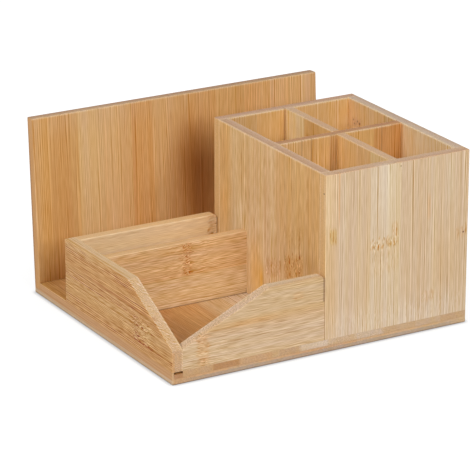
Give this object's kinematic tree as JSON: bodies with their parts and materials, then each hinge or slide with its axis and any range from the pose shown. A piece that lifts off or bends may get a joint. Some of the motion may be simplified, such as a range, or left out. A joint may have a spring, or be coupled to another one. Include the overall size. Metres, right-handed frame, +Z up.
{
  "type": "desk organizer",
  "caption": "Open bamboo desk organizer: a pen box with cells, a low tray with a divider, and a letter slot in front of a leaning back panel.",
  "frame": {"origin": "middle of the footprint, on the underside of the base board", "axes": "+Z up, +X to the right as seen from the front, front towards -Y"},
  "size_m": [0.2064, 0.1858, 0.1148],
  "materials": {
    "bamboo_base": "satin clear varnish",
    "bamboo_panel": "satin clear varnish",
    "bamboo_pen_box": "satin clear varnish",
    "bamboo_tray": "satin clear varnish"
  },
  "bodies": {
    "root": {"base_board": "bamboo_base", "back_panel": "bamboo_panel", "pen_box_front_wall": "bamboo_pen_box", "pen_box_rear_wall": "bamboo_pen_box", "pen_box_left_wall": "bamboo_pen_box", "pen_box_right_wall": "bamboo_pen_box", "pen_box_long_divider": "bamboo_pen_box", "pen_box_cross_divider": "bamboo_pen_box", "tray_left_wall": "bamboo_tray", "tray_front_wall": "bamboo_tray", "tray_rear_wall": "bamboo_tray", "tray_divider": "bamboo_tray"}
  },
  "joints": []
}
